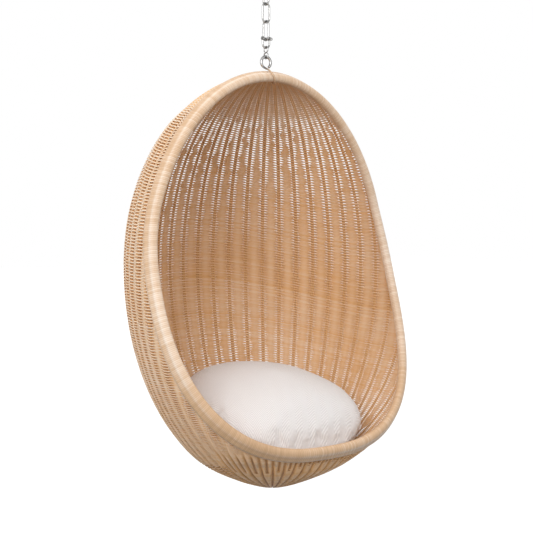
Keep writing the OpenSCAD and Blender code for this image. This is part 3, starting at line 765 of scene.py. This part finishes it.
def makeStake(turn, side, tone):
    top = stakeTop(turn)
    ease = (1 - np.cos(math.pi * np.linspace(0, 1, 400))) / 2
    h = stakes["tipHeight"] + (top - stakes["tipHeight"]) * ease
    line, out = wallPoints(np.full(len(h), turn), h, weave["middle"])
    run = np.concatenate([[0], np.cumsum(np.linalg.norm(np.diff(line, axis=0), axis=1))])
    count = max(4, int(run[-1] / stakes["spacing"]))
    h = np.interp(np.linspace(0, run[-1], count), run, h)
    line, out = wallPoints(np.full(count, turn), h, weave["middle"])
    room = np.hypot(line[:, 0], line[:, 1]) * math.radians(stakeStep) * stakes["crowd"]
    wide = np.minimum(stakes["caneWide"], room / 2)
    sideways = np.array([math.cos(math.radians(turn)), math.sin(math.radians(turn)), 0.0])
    points = line + sideways * (side * wide / 2)[:, None]
    outward = (1 + np.cos(strandTurns(stakes["sides"]))) / 2
    # Painted shade on the outer faces
    tones = tone + stakes["innerTone"] * (1 - outward) + stakes["outerFaceShade"] * outward
    # Painted light near the crown
    tones = tones * (1 - stakes["crownPaintedLight"] * crownLightShare(h)[:, None])
    return sweep(points, out, stakes["caneThick"] / 2, wide / 2, stakes["sides"], False, tones)


stakeTones = np.random.default_rng(stakes["toneSeed"])
for name, (node, low, high) in stakeGroups.items():
    canes = []
    for k in range(stakeCount):
        turn = stakeStep * (k + 0.5)
        if low < turn < high or low < turn - 360 < high:
            for side in (-1, 1):
                canes.append(makeStake(turn, side, stakes["toneSpread"] * stakeTones.random()))
    group = meshPiece(name, canes, "chair", stakeCane)
    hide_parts(node)
print("stakes made")

# Knot inside the egg's tip: a coil wound outwards, over the stakes' ends
knot = {"radius": 48.0, "strand": 5.2, "sides": 8, "depth": 11.6, "turns": 9, "steps": 40, "tone": 0.5}


def makeKnot():
    t = np.linspace(0.02, 1, knot["turns"] * knot["steps"])
    angle = 2 * math.pi * knot["turns"] * t
    r = knot["radius"] * t
    heights = np.linspace(0.3, 60, 300)    # the bowl's profile under the knot
    skin = wallPoints(np.full(len(heights), 180.0), heights, knot["depth"])[0]
    h = np.interp(r, skin[:, 1], skin[:, 2])
    points = np.stack([r * np.sin(angle), -r * np.cos(angle), h], -1)
    up = np.tile([0.0, 0.0, 1.0], (len(points), 1))
    return sweep(points, up, knot["strand"] / 2, knot["strand"] / 2, knot["sides"], False, knot["tone"])


coil = meshPiece("tipCoil", [makeKnot()], "chair", stakeCane)
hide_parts("base_knot")

# Rim: cane peel wound round the tube and the edge pole, drawn in at a waist between the two, with painted
# shade and a painted highlight
wrap = {
    "turns": 654,
    "around": 32,
    "peel": (0.6, 0.08, 0.0, 0.12),    # how deep the surface lies across one turn of peel
    "bunch": 9.0,
    "waist": 3.2,
    "waistAt": 76.0,
    "waistWide": 24.0,
    "tone": 0.62,
    "turnTone": 0.4,
    "toneSeed": 3,
    "slowTone": 0.5,
    "slowTurns": 40,
    "slowSeed": 5,
    # Painted shade in the groove between turns
    "grooveShade": 0.5,
    # Painted highlight: a pale line along the ridge between the two bands
    "highlightAt": 100.0,
    "highlightWide": 11.0,
    "highlightTone": -0.45,
    # Painted shade on the back lobe
    "backWide": 40.0,
    "backShade": 0.2,
    # Painted shade towards the rim's foot
    "footFrom": 430.0,
    "footFade": 200.0,
    "footShade": 0.5,
    "length": 0.11,    # metres of peel in one turn
}


def makeWrap():
    perTurn, around = len(wrap["peel"]), wrap["around"]
    count = wrap["turns"] * perTurn
    lift = perTurn * np.arange(around) / around
    step = np.arange(count)[:, None] + lift[None]
    a = 360 * step / count
    q = 360 * np.arange(around) / around
    q = q + wrap["bunch"] * np.sin(np.radians(2 * q))
    bend = np.abs((q + 180) % 360 - 180)
    waist = wrap["waist"] * np.exp(-(((bend - wrap["waistAt"]) / wrap["waistWide"]) ** 2))
    peel = np.tile(wrap["peel"], wrap["turns"])
    middle = rimMiddle(a.ravel())
    longAxis, shortAxis = rimAxes(a.ravel())
    drop = (waist[None] + peel[:, None]).ravel()
    turn = np.tile(np.radians(q), count)
    x = (rimShape["long"] / 2 - drop) * np.cos(turn)
    y = (rimShape["short"] / 2 - drop) * np.sin(turn)
    points = middle + x[:, None] * longAxis + y[:, None] * shortAxis
    i = np.arange(count)[:, None]
    j = np.arange(around)[None]
    over = (j + 1) // around * perTurn
    here = i * around + j
    beside = (i + over) % count * around + (j + 1) % around
    i2 = (i + 1) % count
    above = i2 * around + j
    corner = (i2 + over) % count * around + (j + 1) % around
    quads = np.stack(np.broadcast_arrays(here, beside, corner, above), -1).reshape(-1, 4)
    turns = np.random.default_rng(wrap["toneSeed"]).random(wrap["turns"])
    marks = np.arange(0, wrap["turns"] + wrap["slowTurns"], wrap["slowTurns"])
    slow = np.random.default_rng(wrap["slowSeed"]).random(len(marks))
    slow = np.interp(np.arange(wrap["turns"]), marks, slow)
    tone = wrap["tone"] + wrap["turnTone"] * (turns - 0.5) + wrap["slowTone"] * (slow - 0.5)
    # Painted shade in the groove between turns
    tone = np.repeat(tone, perTurn) + wrap["grooveShade"] * (np.arange(count) % perTurn == 0)
    # Painted shade, darker towards the rim's foot
    foot = smooth((wrap["footFrom"] - rimHeight(360 * np.arange(count) / count)) / wrap["footFade"])
    tone = tone + wrap["footShade"] * foot
    # Painted shade on the back lobe
    band = wrap["backShade"] * smooth((wrap["highlightAt"] - bend) / wrap["backWide"])
    # Painted highlight along the ridge between the back and the front band
    band = band + wrap["highlightTone"] * np.exp(-(((bend - wrap["highlightAt"]) / wrap["highlightWide"]) ** 2))
    return {
        "points": points,
        "quads": quads,
        "caps": [],
        "tone": (tone[:, None] + band[None]).ravel(),
        "run": np.tile(q / 360 * wrap["length"], count),
    }


# Pieces that keep the frame's own shape get a finish
def giveFinish(finish, *names):
    for name in names:
        nodes[name].data.materials.clear()
        nodes[name].data.materials.append(finish)


rimWrap = meshPiece("rimWrap", [makeWrap()], "chair", wrapCane)
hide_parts("rim_wrap")
giveFinish(tubePaint, "rim_pole")
giveFinish(poleCane, "edge_pole")
print("rim wound")

# Hanger and S-hook, in millimetres from the ceiling plate; the hanger's turn round the rim is drawn thinner
hanger = {
    "rod": 8.0,
    "turnRod": 5.0,
    "sides": 20,
    "ringRadius": 17.5,
    "ringFrom": -52.0,
    "ringTo": 222.0,
    "ringSteps": 64,
    "leave": 9.0,
    "arrive": (1.0, 9.0, 8.0),
    "neckSteps": 14,
    "thinFrom": -8,    # in points past the ring's end, as are the next three
    "thinOver": 20,
    "lacquerFrom": 2,
    "lacquerOver": 14,
    "loopFrom": 100.0,
    "loopTo": 334.0,
    "loopSteps": 72,
    "loopX": 17.0,
    "loopGap": 3.4,
}
sHook = {"wire": 4.0, "loopRadius": 9.2, "sweep": 305.0, "from": 215.0, "steps": 60, "sides": 16}
rodEnd = {"reach": (0.5, 0.36, 0.16), "size": (0.35, 0.75, 0.95)}    # a rounded end, in radii of the rod
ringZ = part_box("hanger_hook")[1].z * 1000 - hanger["ringRadius"] - hanger["rod"] / 2


def belowCeiling(points):
    return points / 1000


def bezier(a, b, c, d, t):
    t = t[:, None]
    return (1 - t) ** 3 * a + 3 * t * (1 - t) ** 2 * b + 3 * t * t * (1 - t) * c + t ** 3 * d


def ringPoint(q):
    q = np.radians(q)
    r = hanger["ringRadius"]
    return np.stack([r * np.cos(q), 0 * q, ringZ + r * np.sin(q)], -1)


# The hanger's turn round the rim
def loopPoint(q):
    part = (q - hanger["loopFrom"]) / (hanger["loopTo"] - hanger["loopFrom"])
    longAxis, shortAxis = rimAxes(np.array([0.0]))
    gap = hanger["loopGap"]
    x = (rimShape["long"] / 2 + gap) * np.cos(np.radians(q))[:, None] * longAxis
    y = (rimShape["short"] / 2 + gap) * np.sin(np.radians(q))[:, None] * shortAxis
    rimTop = np.stack([hanger["loopX"] * (2 * part - 1), 0 * q + axisY * 1000,
                       0 * q + tipZ * 1000 + rimShape["topHeight"]], -1)
    return rimTop + x + y


def roundedRod(points, hints, radius, sides, tone=0.0):
    count = len(rodEnd["size"])
    grow, reach = np.array(rodEnd["size"]), np.array(rodEnd["reach"])[:, None]
    radius = np.broadcast_to(radius, len(points))
    tone = np.broadcast_to(tone, len(points))
    along = unit(np.gradient(points, axis=0))
    head = points[0] - along[0] * radius[0] * reach
    tail = points[-1] + along[-1] * radius[-1] * reach[::-1]
    points = np.concatenate([head, points, tail])
    size = np.concatenate([grow * radius[0], radius, grow[::-1] * radius[-1]])
    return sweep(points, padEnds(hints, count), size, size, sides, False, padEnds(tone, count)[:, None])


def makeHanger():
    ring = ringPoint(np.linspace(hanger["ringFrom"], hanger["ringTo"], hanger["ringSteps"]))
    loop = loopPoint(np.linspace(hanger["loopFrom"], hanger["loopTo"], hanger["loopSteps"]))
    to = math.radians(hanger["ringTo"])
    leave = ring[-1] + hanger["leave"] * np.array([-math.sin(to), 0, math.cos(to)])
    arrive = loop[0] + np.array(hanger["arrive"])
    steps = hanger["neckSteps"]
    neck = bezier(ring[-1], leave, arrive, loop[0], np.linspace(0, 1, steps + 2)[1:-1])
    points = np.concatenate([ring, neck, loop])
    turned = np.linspace(0.05, 0.95, steps)
    hints = np.concatenate([
        np.tile([0.0, 1.0, 0.0], (len(ring), 1)),
        unit(np.stack([turned, turned[::-1], np.zeros(steps)], -1)),
        np.tile([1.0, 0.0, 0.0], (len(loop), 1)),
    ])
    past = np.arange(len(points)) - len(ring)
    thin = smooth((past - hanger["thinFrom"]) / hanger["thinOver"])
    radius = (hanger["rod"] * (1 - thin) + hanger["turnRod"] * thin) / 2
    lacquer = smooth((past - hanger["lacquerFrom"]) / hanger["lacquerOver"])
    return roundedRod(points, hints, radius, hanger["sides"], lacquer)


def makeSHook():
    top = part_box("s_hook")[1].z * 1000 - sHook["wire"] / 2
    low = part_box("s_hook")[0].z * 1000 + sHook["wire"] / 2
    r = sHook["loopRadius"]
    steps = sHook["steps"]
    upper = np.radians(sHook["from"] - sHook["sweep"] * np.linspace(0, 1, steps, endpoint=False))
    lower = np.radians(90 + sHook["sweep"] * np.linspace(0, 1, steps))
    y = np.concatenate([-r * np.cos(upper), -r * np.cos(lower)])
    z = np.concatenate([top - r + r * np.sin(upper), low + r + r * np.sin(lower)])
    points = np.stack([0 * y, y, z], -1)
    hints = np.tile([1.0, 0.0, 0.0], (len(points), 1))
    return roundedRod(points, hints, sHook["wire"] / 2, sHook["sides"])


hangerRod = meshPiece("hangerRod", [makeHanger()], "chair", turnSteel, belowCeiling)
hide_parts("hanger_hook")
sWire = meshPiece("sHookWire", [makeSHook()], "hook", hookSteel, belowCeiling)
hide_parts("s_hook")

giveFinish(plateSteel, "ceiling_plate", "bearing_housing")
giveFinish(bearingSteel, "lower_washer", "bearing_balls", "upper_washer", "stem_nut")
giveFinish(hookSteel, "swivel_eye")
giveFinish(chainSteel, "chain_link_1", "chain_link_2", "chain_link_3", "shackle_bow", "shackle_pin")
print("hardware finished")

# Cushion: crowned, bedded in the bowl and drawn in round its edge, then puffed up by a little pressure
cushion = {
    "width": 616.0,
    "corners": 0.012,
    "crown": 130.0,
    "sink": 186.0,
    "edge": 0.34,
    "edgeRound": 0.72,
    "crownRound": 0.86,
    "sinkRound": 0.55,
    "height": 224.0,
    "foot": 64.0,
    "back": 16.0,
    "lean": 13.0,
    "bed": 0.5,
    "bedFromRow": 15,
    "rimRoom": 4.2,
    "frontBlend": 36.0,
    "flareDraw": 18.0,
    "stakeDepth": 8.7,
    "startInset": 7.0,
    "rings": 40,
    "around": 72,
    "voxel": 0.006,
    "pressure": 4.0,
    "quality": 6,
    "cap": 0.016,
    "frames": 20,
    "easing": 5,
    "fill": 0.8,
}


# Height of the bowl over the stakes at a radius, raised by a gap
def bedHeight(r, gap):
    s = np.arange(cushion["bedFromRow"], wallShape["lastRow"])[::-1].astype(float)
    rear = np.array([rowEnds(v)[1] for v in s])
    skin, out = wallPoints(np.full(len(s), 180.0), rear, cushion["stakeDepth"])
    levels = np.interp(r, skin[:, 1], skin[:, 2])
    slopes = np.interp(r, skin[:, 1], -out[:, 2])
    return levels + gap * slopes


# q runs from 0 at the crown to 180 under the cushion
def cushionPoints(turn, q, inset):
    c = cushion
    turn, q = np.radians(turn), np.radians(q)
    lean = math.radians(c["lean"])
    outward = np.maximum(np.sin(q), 0) ** c["edgeRound"]
    r = (c["width"] / 2 - inset) * outward * (1 + c["corners"] * np.cos(4 * turn))
    cosine = np.cos(q)
    upper = (c["crown"] - inset) * np.maximum(cosine, 0) ** c["crownRound"]
    lower = (inset - c["sink"]) * np.maximum(-cosine, 0) ** c["sinkRound"]
    t = np.where(q < math.pi / 2, upper, lower) * (1 - c["edge"] * outward)
    y = c["back"] - r * np.cos(turn) * math.cos(lean) - t * math.sin(lean)
    h = c["height"] - r * np.cos(turn) * math.sin(lean) + t * math.cos(lean)
    x = r * np.sin(turn)
    rimLean = math.radians(rimShape["lean"])
    rimAft = math.hypot(rimShape["short"] / 2 * math.sin(rimLean), rimShape["long"] / 2 * math.cos(rimLean))
    ahead = y + rimFront(np.maximum(h, rimShape["footHeight"])) - rimAft - c["rimRoom"] - inset
    keptY = y + (np.hypot(ahead, c["frontBlend"]) - ahead) / 2
    draw = c["flareDraw"] * np.maximum(0, -keptY / np.sqrt(x * x + keptY * keptY + 1))
    floor = bedHeight(np.hypot(x, keptY), c["bed"] + inset + draw)
    return np.stack([x, keptY, np.maximum(np.maximum(h, c["foot"] + 2 * inset), floor)], -1)


def makeCushionForm():
    inset, steps, rounds = cushion["startInset"], cushion["rings"], cushion["around"]
    q = np.repeat(180 * np.arange(1, steps) / steps, rounds)
    turn = np.tile(360 * np.arange(rounds) / rounds, steps - 1)
    sides = cushionPoints(turn, q, inset)
    poles = cushionPoints(np.array([0.0, 0.0]), np.array([0.0, 180.0]), inset)
    points = np.concatenate([sides, poles])
    i = np.arange(steps - 2)[:, None] * rounds
    j = np.arange(rounds)[None]
    j2 = (j + 1) % rounds
    quads = np.stack(np.broadcast_arrays(i + j, i + rounds + j, i + rounds + j2, i + j2), -1).reshape(-1, 4)
    top, under = len(sides), len(sides) + 1
    lastRing = (steps - 2) * rounds
    caps = [np.array([top, k, (k + 1) % rounds]) for k in range(rounds)]
    caps += [np.array([under, lastRing + (k + 1) % rounds, lastRing + k]) for k in range(rounds)]
    tone = np.full(len(points), 0.5)
    return {"points": points, "quads": quads, "caps": caps, "tone": tone, "run": tone}


cloth = {
    # Painted shade in the weave's hollows, and the lighter ridges
    "hollowShade": (0.69, 0.655, 0.65),
    "ridge": (0.93, 0.90, 0.89),
    "soil": (0.97, 0.955, 0.94),
    "lie": (-13.0, 0.0, 24.0),    # how the weave lies on the cushion, in degrees
    "boneWidth": 0.022,
    "ribScale": 52.0,
    "threadScale": 150.0,
    "threadShare": 0.3,
    "napScale": 900.0,
    "napShare": 0.5,
    "soilScale": 5.0,
}


# Herringbone cloth: ribs that turn to and fro, fine threads across them and a soft nap, with painted shade
# in the hollows
def makeClothMaterial():
    material, tree, shader = newMaterial("cushionCloth")
    where = addNode(tree, "TexCoord")
    spread = addNode(tree, "Mapping")
    spread.inputs["Rotation"].default_value = [math.radians(a) for a in cloth["lie"]]
    tree.links.new(where.outputs["Object"], spread.inputs["Vector"])
    flat = addNode(tree, "SeparateXYZ")
    tree.links.new(spread.outputs[0], flat.inputs[0])
    zigzag = addMath(tree, "PINGPONG", flat.outputs["X"], cloth["boneWidth"])
    slant = addNode(tree, "CombineXYZ")
    tree.links.new(addMath(tree, "ADD", flat.outputs["Y"], zigzag), slant.inputs["Y"])
    tree.links.new(flat.outputs["X"], slant.inputs["X"])
    along, across = {"bands_direction": "Y"}, {"bands_direction": "X"}
    ribs = addNode(tree, "TexWave", along, Scale=cloth["ribScale"], Distortion=0.5, Detail=1.0)
    ribs.inputs["Detail Scale"].default_value = 30.0
    tree.links.new(slant.outputs[0], ribs.inputs["Vector"])
    threads = addNode(tree, "TexWave", across, Scale=cloth["threadScale"], Distortion=0.6, Detail=1.0)
    nap = addNode(tree, "TexNoise", Scale=cloth["napScale"], Detail=3.0)
    soil = addNode(tree, "TexNoise", Scale=cloth["soilScale"], Detail=3.0)
    for texture in (threads, nap, soil):
        tree.links.new(spread.outputs[0], texture.inputs["Vector"])
    thread = addMath(tree, "MULTIPLY", threads.outputs["Fac"], cloth["threadShare"])
    fluff = addMath(tree, "MULTIPLY", nap.outputs["Fac"], cloth["napShare"])
    height = addMath(tree, "ADD", addMath(tree, "ADD", ribs.outputs["Fac"], thread), fluff)
    raised = addMath(tree, "MULTIPLY", height, 0.6)
    # Painted shade: darker in the weave's hollows, lighter on its ridges
    base = addMix(tree, raised, (*cloth["hollowShade"], 1), (*cloth["ridge"], 1))
    tint = addMix(tree, soil.outputs["Fac"], (*cloth["soil"], 1), (1, 1, 1, 1))
    tree.links.new(addMix(tree, 1.0, base, tint, "MULTIPLY"), shader.inputs["Base Color"])
    setInputs(shader, {"Roughness": 0.9, "Specular IOR Level": 0.25})
    setInputs(shader, {"Sheen Weight": 0.2, "Sheen Roughness": 0.5})
    addBump(tree, shader, height, strength=0.6, distance=0.0016)
    return material


clothMaterial = makeClothMaterial()


# Puffs a piece up with a cloth modifier, by at most the cap, and keeps the puffed shape
def inflate(piece):
    mesh = piece.data
    start = np.empty(len(mesh.vertices) * 3, np.float32)
    mesh.vertices.foreach_get("co", start)
    puff = piece.modifiers.new("puff", "CLOTH")
    puff.settings.use_pressure = True
    puff.settings.uniform_pressure_force = cushion["pressure"]
    puff.settings.effector_weights.gravity = 0
    puff.settings.quality = cushion["quality"]
    puff.collision_settings.use_collision = False
    scene = bpy.context.scene
    for step in range(1, cushion["frames"] + 1):
        scene.frame_set(step)
    puffed = piece.evaluated_get(bpy.context.evaluated_depsgraph_get()).data
    end = np.empty_like(start)
    puffed.vertices.foreach_get("co", end)
    piece.modifiers.remove(puff)
    scene.frame_set(1)
    move = (end - start).reshape(-1, 3)
    far = np.linalg.norm(move, axis=1, keepdims=True)
    move *= np.minimum(1, cushion["cap"] / np.maximum(far, 1e-6))
    mesh.vertices.foreach_set("co", (start + move.ravel()).astype(np.float32))
    mesh.update()


# Runs one modifier on a piece and keeps what it makes
def useModifier(piece, kind, **settings):
    modifier = piece.modifiers.new(kind.lower(), kind)
    for key, value in settings.items():
        setattr(modifier, key, value)
    made = bpy.data.meshes.new_from_object(piece.evaluated_get(bpy.context.evaluated_depsgraph_get()))
    piece.modifiers.clear()
    old = piece.data
    piece.data = made
    made.name = old.name
    bpy.data.meshes.remove(old)


seatCushion = meshPiece("seatCushion", [makeCushionForm()], "cushion", clothMaterial)
useModifier(seatCushion, "REMESH", mode="VOXEL", voxel_size=cushion["voxel"], use_smooth_shade=True)
inflate(seatCushion)
useModifier(seatCushion, "SMOOTH", factor=0.5, iterations=cushion["easing"])
useModifier(seatCushion, "SUBSURF", levels=1, render_levels=1)
seatCushion.data.polygons.foreach_set("use_smooth", np.ones(len(seatCushion.data.polygons), bool))
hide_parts("cushion_cover", "cushion_core")
print("cushion faces:", len(seatCushion.data.polygons))

# Floor, light and camera, in metres
studio = {
    "floorZ": -2.35,
    "floorSize": 60.0,
    "floorShade": 0.11,
    "worldStrength": 1.06,
    "keyPower": 98.0,
    "keySize": 2.6,
    "keyPlace": (-3.5, -2.8, 0.7),
    "keyAim": 0.62,    # above the egg's lowest point
}
view = {
    "azimuth": 38.1,
    "distance": 3.6,
    "height": -0.746,
    "lens": 80.98,
    "sensor": 36.0,
    "shiftX": -0.0105,
    "shiftY": -0.0966,
}


# 1 where a ray should see plain white, 0 where the light itself counts
def seenWhite(tree):
    path = addNode(tree, "LightPath")
    seen = addMath(tree, "MAXIMUM", path.outputs["Is Camera Ray"], path.outputs["Is Glossy Ray"])
    return addMath(tree, "MAXIMUM", seen, path.outputs["Is Transmission Ray"])


def makeFloor():
    half = studio["floorSize"] / 2
    signs = ((-1, -1), (1, -1), (1, 1), (-1, 1))
    corners = [(half * x, half * y, studio["floorZ"]) for x, y in signs]
    mesh = bpy.data.meshes.new("floor")
    mesh.from_pydata(corners, [], [(0, 1, 2, 3)])
    material, tree, shader = newMaterial("paleFloor")
    shade = studio["floorShade"]
    setInputs(shader, {"Base Color": (shade, shade, shade, 1), "Roughness": 0.9})
    setInputs(shader, {"Emission Color": (1, 1, 1, 1)})
    glow = addMath(tree, "MULTIPLY", seenWhite(tree), 1 - shade / 2)
    tree.links.new(glow, shader.inputs["Emission Strength"])
    mesh.materials.append(material)
    addObject("floor", mesh)


def makeWorld():
    world = bpy.data.worlds.new("studio")
    bpy.context.scene.world = world
    world.use_nodes = True
    tree = world.node_tree
    background = tree.nodes["Background"]
    background.inputs["Color"].default_value = (1, 1, 1, 1)
    rest = studio["worldStrength"]
    strength = addMath(tree, "ADD", addMath(tree, "MULTIPLY", seenWhite(tree), 1 - rest), rest)
    tree.links.new(strength, background.inputs["Strength"])


def makeLamp(name, place, size, power, target):
    lamp = bpy.data.lights.new(name, "AREA")
    lamp.size = size
    lamp.energy = power
    holder = addObject(name, lamp)
    holder.location = place
    aim = np.array(target) - np.array(place)
    tilt = math.acos(-aim[2] / np.linalg.norm(aim))
    holder.rotation_euler = (tilt, 0, math.atan2(aim[1], aim[0]) - math.pi / 2)


def makeCamera():
    lens = bpy.data.cameras.new("camera")
    lens.lens = view["lens"]
    lens.sensor_width = view["sensor"]
    lens.shift_x, lens.shift_y = view["shiftX"], view["shiftY"]
    camera = addObject("camera", lens)
    azimuth, away = math.radians(view["azimuth"]), view["distance"]
    camera.location = (-away * math.sin(azimuth), axisY - away * math.cos(azimuth), view["height"])
    camera.rotation_euler = (math.pi / 2, 0, -azimuth)
    bpy.context.scene.camera = camera


makeFloor()
makeWorld()
keyAim = (0, axisY, tipZ + studio["keyAim"])
makeLamp("keyLamp", studio["keyPlace"], studio["keySize"], studio["keyPower"], keyAim)
makeCamera()
bpy.context.scene.view_settings.view_transform = "Standard"
print("studio ready")
